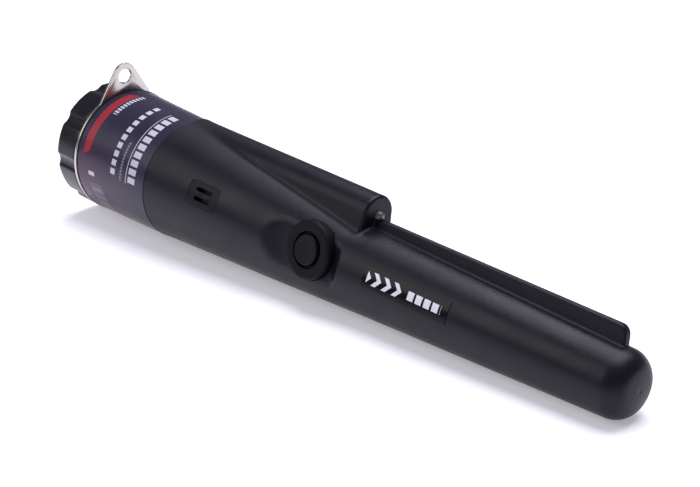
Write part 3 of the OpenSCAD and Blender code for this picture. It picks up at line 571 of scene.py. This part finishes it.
def surface(name, code, rough, grain=0.5, depth=0.01, vary=0.06, fade=0.0, **sockets):
    """A material with its own grain: grain and depth in mm, vary on roughness, fade on colour.

    Other settings are the shader's own sockets, with _ for a space."""
    made = bpy.data.materials.new(name)
    made.use_nodes = True
    tree = made.node_tree
    shader = tree.nodes["Principled BSDF"]
    base = colour(code)
    shader.inputs["Base Color"].default_value = base
    shader.inputs["Roughness"].default_value = rough
    for key, value in sockets.items():
        shader.inputs[key.replace("_", " ")].default_value = value
    place = add(tree, "TexCoord").outputs["Object"]
    fine = add(tree, "TexNoise", {"Vector": place, "Scale": 1 / (grain * MM), "Detail": 3.0,
                                  "Roughness": 0.6})
    wide = add(tree, "TexNoise", {"Vector": place, "Scale": 90.0, "Detail": 2.0})
    span = add(tree, "MapRange", {"Value": wide.outputs["Fac"], "From Min": 0.3, "From Max": 0.7,
                                  "To Min": rough - vary, "To Max": rough + vary})
    tree.links.new(span.outputs["Result"], shader.inputs["Roughness"])
    if depth:
        bump = add(tree, "Bump", {"Height": fine.outputs["Fac"], "Distance": depth * MM,
                                  "Strength": 1.0})
        tree.links.new(bump.outputs["Normal"], shader.inputs["Normal"])
    if fade:
        darker = tuple(c * (1 - fade) for c in base[:3]) + (1,)
        lighter = tuple(min(c * (1 + fade), 1) for c in base[:3]) + (1,)
        tone = add(tree, "MixRGB", {"Fac": wide.outputs["Fac"], "Color1": darker, "Color2": lighter})
        tree.links.new(tone.outputs[0], shader.inputs["Base Color"])
    return made


def design_axes(tree):
    """Object coordinates turned back to the design frame, in mm, and the angle round from the spine."""
    place = add(tree, "TexCoord").outputs["Object"]
    turn = LAY.inverted().to_euler()
    turned_back = add(tree, "Mapping", {"Vector": place, "Rotation": tuple(turn),
                                        "Scale": (1 / MM,) * 3})
    axes = add(tree, "SeparateXYZ", {0: turned_back.outputs[0]}).outputs
    flipped = math_node(tree, "MULTIPLY", axes["Y"], -1.0)
    angle = math_node(tree, "MULTIPLY", math_node(tree, "ARCTAN2", flipped, axes["Z"]), 180 / math.pi)
    return axes["X"], angle


def within(tree, value, low, high):
    return math_node(tree, "COMPARE", value, (low + high) / 2, (high - low) / 2)


def both(tree, *masks):
    total = masks[0]
    for mask in masks[1:]:
        total = math_node(tree, "MULTIPLY", total, mask)
    return total


def either(tree, *masks):
    total = masks[0]
    for mask in masks[1:]:
        total = math_node(tree, "MAXIMUM", total, mask)
    return total


def row_of(tree, value, pitch, share, start=0.0):
    """Marks that repeat along value: each fills a share of the pitch."""
    steps = math_node(tree, "DIVIDE", math_node(tree, "SUBTRACT", value, start), pitch)
    return math_node(tree, "LESS_THAN", math_node(tree, "FRACT", steps), share)


def uneven_row(tree, value, pitch):
    """Marks of uneven width, as in a printed code strip."""
    steps = math_node(tree, "DIVIDE", value, pitch)
    noise = add(tree, "TexWhiteNoise", noise_dimensions="1D")
    tree.links.new(math_node(tree, "FLOOR", steps), noise.inputs["W"])
    width = noise.outputs["Value"]
    share = math_node(tree, "MULTIPLY_ADD", width, 0.55, 0.2)
    return math_node(tree, "LESS_THAN", math_node(tree, "FRACT", steps), share)


def paint(tree, base, mask, code):
    return add(tree, "MixRGB", {"Fac": mask, "Color1": base, "Color2": colour(code)}).outputs[0]


def label_vinyl():
    """Satin printed vinyl: dark indigo with a plum glow low on the side, generic bars and blocks."""
    made = surface("satin_label_vinyl", "232033", 0.3, grain=0.4, depth=0.003, Specular_IOR_Level=0.3)
    tree = made.node_tree
    x, a = design_axes(tree)
    glow = both(tree, add(tree, "MapRange", {"Value": a, "From Min": 60.0, "From Max": 125.0}).outputs[0],
                add(tree, "MapRange", {"Value": x, "From Min": 44.0, "From Max": 12.0}).outputs[0])
    base = paint(tree, colour("232033"), glow, "43203a")
    slanted = math_node(tree, "MULTIPLY_ADD", x, 1.6, a)
    stripe = both(tree, within(tree, x, 15.3, 18.7), within(tree, slanted, 40.0, 115.0))
    ticks = both(tree, within(tree, x, 19.6, 21.6), within(tree, a, 10, 45), row_of(tree, a, 3.4, 0.62))
    blocks = both(tree, within(tree, x, 30.7, 33.0), within(tree, a, 16, 100),
                  row_of(tree, a, 8.4, 0.66, 16.0))
    faint = both(tree, within(tree, x, 35.5, 36.5), within(tree, a, 62, 100), row_of(tree, a, 3.0, 0.7))
    rule = both(tree, within(tree, x, 38.75, 39.05), within(tree, a, 17, 100))
    large = both(tree, within(tree, x, 40.0, 43.6), within(tree, a, 18, 101),
                 row_of(tree, a, 8.3, 0.7, 18.0))
    icon = both(tree, within(tree, x, 18.8, 21.9), within(tree, a, 104, 108))
    strip = both(tree, within(tree, x, 19.0, 25.0), within(tree, a, 116, 146), uneven_row(tree, a, 2.1))
    base = paint(tree, base, stripe, "8c1f2c")
    base = paint(tree, base, either(tree, ticks, blocks, large, rule, icon), "b4b3c0")
    base = paint(tree, base, either(tree, faint, strip), "6f6d7e")
    tree.links.new(base, tree.nodes["Principled BSDF"].inputs["Base Color"])
    return made


def sticker_vinyl():
    """Glossy black strip printed with pale chevrons and plain blocks."""
    made = surface("glossy_strip_vinyl", "08080c", 0.2, grain=0.5, depth=0.002, vary=0.03,
                   Specular_IOR_Level=0.15)
    tree = made.node_tree
    x, a = design_axes(tree)
    across = math_node(tree, "MULTIPLY", math_node(tree, "SUBTRACT", a, math.degrees(STICKER_ANGLE)),
                       math.radians(1) * STICKER_SKIN_R)
    off = math_node(tree, "ABSOLUTE", across)
    arrow = both(tree, row_of(tree, math_node(tree, "ADD", x, off), 4.0, 0.42, 145.5),
                 within(tree, x, 145.5, 159.5), within(tree, across, -1.9, 1.9))
    blocks = both(tree, row_of(tree, x, 3.1, 0.74, 161.5), within(tree, x, 161.5, 174.0),
                  within(tree, across, -1.3, 1.3))
    base = paint(tree, colour("08080c"), either(tree, arrow, blocks), "d4d4da")
    tree.links.new(base, tree.nodes["Principled BSDF"].inputs["Base Color"])
    return made


# Each starts from what the real part is made of; the grain is drawn a little coarser than life
FINISHES = {
    # spark-eroded ABS: near black, blue-grey sheen, soft long highlights
    "housing": surface("spark_textured_abs", "0f0f18", 0.36, grain=0.5, depth=0.045, vary=0.04,
                       Specular_IOR_Level=0.19),
    # smoother ABS that shows crisper lights along each lobe
    "battery_cap": surface("semi_gloss_abs", "0c0c11", 0.26, grain=0.7, depth=0.006,
                           Specular_IOR_Level=0.3),
    # nickel plate on pressed steel, nearly a mirror with faint wear
    "lanyard_ring": surface("polished_nickel", "b9b5ae", 0.18, grain=0.8, depth=0.001, vary=0.04,
                            Metallic=1.0),
    # silicone rubber: soft, dusty and without a clear highlight
    "button_boot": surface("matte_silicone", "07080c", 0.55, grain=0.4, depth=0.008,
                           Specular_IOR_Level=0.12),
    "button_pad": surface("press_pad_rubber", "090a0f", 0.5, grain=0.35, depth=0.01,
                          Specular_IOR_Level=0.13),
    "grille_plug": surface("grille_abs", "0d0d14", 0.42, grain=0.4, depth=0.02,
                           Specular_IOR_Level=0.15),
    "cap_seal": surface("nitrile_seal", "101010", 0.5, grain=0.3, depth=0.004),
    "pressure_pad": surface("closed_cell_foam", "26272a", 0.85, grain=0.5, depth=0.08, fade=0.2),
    "battery_case": surface("printed_battery_jacket", "2b2c30", 0.3, grain=1.5, depth=0.004, fade=0.1),
    "battery_terminals": surface("nickel_plated_terminals", "cfcdc6", 0.2, grain=0.4, depth=0.002,
                                 Metallic=1.0),
    "contact_plate": surface("pressed_fibre_board", "4a3826", 0.7, grain=0.3, depth=0.02, fade=0.25),
    "contact_snaps": surface("plated_brass_snaps", "d8c48e", 0.25, grain=0.3, depth=0.002,
                             Metallic=1.0),
    "chassis": surface("grey_chassis_abs", "5b5e64", 0.5, grain=0.5, depth=0.01),
    "main_board": surface("green_solder_mask", "0f5a2c", 0.28, grain=0.6, depth=0.006, fade=0.15),
    "board_screws": surface("zinc_plated_steel", "c2c4c6", 0.3, grain=0.3, depth=0.003, Metallic=1.0),
    "microcontroller": surface("chip_epoxy", "1c1c1e", 0.55, grain=0.2, depth=0.006),
    "amplifier_chips": surface("small_chip_epoxy", "202022", 0.5, grain=0.2, depth=0.006),
    "capacitors": surface("capacitor_sleeve", "1b2a52", 0.25, grain=0.5, depth=0.002),
    "resistors": surface("resistor_glaze", "23262b", 0.2, grain=0.3, depth=0.002),
    "trim_pot": surface("blue_trimmer_nylon", "1f4f9a", 0.4, grain=0.4, depth=0.005),
    "tuning_inductor": surface("inductor_ferrite", "34353a", 0.5, grain=0.25, depth=0.01, fade=0.15),
    "coil_connector": surface("ivory_nylon", "ded8c6", 0.4, grain=0.5, depth=0.004),
    "tact_switch": surface("switch_steel", "b8babc", 0.3, grain=0.4, depth=0.003, Metallic=1.0),
    "switch_plunger": surface("black_acetal", "18181a", 0.35, grain=0.4, depth=0.003),
    "grille_gasket": surface("gasket_foam", "2d2e33", 0.9, grain=0.4, depth=0.06, fade=0.2),
    "sounder_case": surface("black_sounder_noryl", "1a1a1c", 0.45, grain=0.4, depth=0.008),
    "sounder_disc": surface("sounder_brass", "c8a35a", 0.3, grain=0.3, depth=0.003, Metallic=1.0),
    "vibration_motor": surface("drawn_motor_steel", "aeb0b3", 0.28, grain=0.4, depth=0.003,
                               Metallic=1.0),
    "motor_weight": surface("sintered_tungsten", "77777a", 0.45, grain=0.2, depth=0.008, Metallic=1.0),
    "motor_clip": surface("motor_clip_rubber", "202124", 0.65, grain=0.4, depth=0.01),
    "lamp": surface("clear_lamp_epoxy", "eef2f4", 0.05, depth=0, vary=0.02,
                    Transmission_Weight=0.9, IOR=1.52),
    "lamp_seal": surface("lamp_seal_silicone", "c8c8c4", 0.5, grain=0.3, depth=0.004),
    "lamp_leads": surface("tinned_leads", "bfc0c2", 0.3, grain=0.3, depth=0.002, Metallic=1.0),
    "ferrite_rod": surface("rod_ferrite", "2e2f33", 0.5, grain=0.3, depth=0.01, fade=0.15),
    "coil_bobbin": surface("bobbin_nylon", "d9d4c4", 0.45, grain=0.5, depth=0.004),
    "coil_winding": surface("enamelled_copper", "a6562c", 0.3, grain=0.2, depth=0.01, Metallic=1.0),
    "rod_collar": surface("collar_foam", "303136", 0.9, grain=0.4, depth=0.06, fade=0.2),
    "rod_seat": surface("seat_foam", "303136", 0.9, grain=0.4, depth=0.06, fade=0.2),
    "coil_leads": surface("coil_lead_enamel", "b06a34", 0.3, grain=0.3, depth=0.002),
    "battery_leads": surface("red_lead_pvc", "a01e1e", 0.4, grain=0.6, depth=0.003),
    "motor_leads": surface("blue_lead_pvc", "22408c", 0.4, grain=0.6, depth=0.003),
    "sounder_leads": surface("yellow_lead_pvc", "c9a227", 0.4, grain=0.6, depth=0.003),
    "wrap_label": label_vinyl(),
    "name_label": sticker_vinyl(),
}

# The lamp's chip is pale yellow phosphor
die_finish = surface("lamp_phosphor", "e8d98a", 0.5, grain=0.1, depth=0.004)


def cover(piece, finish):
    """Gives every material slot of a piece its finish."""
    if not piece.material_slots:
        piece.data.materials.append(finish)
    for one in piece.material_slots:
        one.material = finish


for node_name, finish in FINISHES.items():
    cover(nodes[node_name], finish)
for piece, node_name, body, slot_name, stands_for in (
        (housing, "housing", "housing", "housing_plastic", ("housing",)),
        (cap, "battery_cap", "battery_cap", "cap_plastic", ("battery_cap",)),
        (thread, "housing", "housing", "housing_plastic", ()),
        (ring, "lanyard_ring", "lanyard_ring", "nickel_steel", ("lanyard_ring",)),
        (boot, "button_boot", "housing", "button_rubber", ("button_boot",)),
        (pad, "button_pad", "button", "button_rubber", ("button_pad",)),
        (plug, "grille_plug", "housing", "grille_plastic", ("grille_plug",)),
        (die, None, "housing", None, ())):
    cover(piece, FINISHES[node_name] if node_name else die_finish)
    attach(piece, body)
    if stands_for:
        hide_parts(*stands_for)


# ---- Floor, lights and camera -----------------------------------------------------

def make_floor():
    deselect()
    bpy.ops.mesh.primitive_plane_add(size=6)
    piece = named("studio_floor")
    low = min(cad_box[0][2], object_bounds()[0][2])
    piece.location = (0.1, 0, low)
    bpy.ops.object.transform_apply()
    white = surface("white_acrylic_sheet", "f4f3f8", 0.35, grain=3, depth=0, Specular_IOR_Level=0.35,
                    Emission_Color=colour("fbfaff"), Emission_Strength=0.32)
    cover(piece, white)
    return piece


def softbox(name, place, aim, size, power, tint="ffffff"):
    """A square lamp behind a diffuser, turned to look at a point."""
    light = bpy.data.lights.new(name, "AREA")
    light.shape, light.size, light.energy = "SQUARE", size, power
    light.color = colour(tint)[:3]
    lamp = bpy.data.objects.new(name, light)
    scene.collection.objects.link(lamp)
    lamp.location = place
    lamp.rotation_euler = (Vector(aim) - Vector(place)).to_track_quat("-Z", "Y").to_euler()


make_floor()
MIDDLE = (0.11, 0, 0)
softbox("top_softbox", (0.05, 0.25, 0.9), MIDDLE, 0.9, 15, "f4f2ff")
softbox("side_softbox", (-0.35, -0.7, 0.55), MIDDLE, 0.6, 3)
world = bpy.data.worlds.new("studio")
world.use_nodes = True
world.node_tree.nodes["Background"].inputs["Color"].default_value = colour("e4e2f6")
world.node_tree.nodes["Background"].inputs["Strength"].default_value = 0.3
scene.world = world

RIGHT = (0.687365, 0.726305, -0.003319)
UP = (-0.267286, 0.257199, 0.928659)
BACK = (0.675343, -0.637440, 0.370921)
camera_data = bpy.data.cameras.new("camera")
camera_data.lens, camera_data.sensor_width = 81.195, 36
camera_data.clip_start = 0.01
camera = bpy.data.objects.new("camera", camera_data)
scene.collection.objects.link(camera)
camera.matrix_world = Matrix((RIGHT, UP, BACK)).transposed().to_4x4()
camera.location = (0.448289, -0.304854, 0.173943)
scene.camera = camera
scene.view_settings.view_transform = "Standard"

bpy.context.view_layer.update()
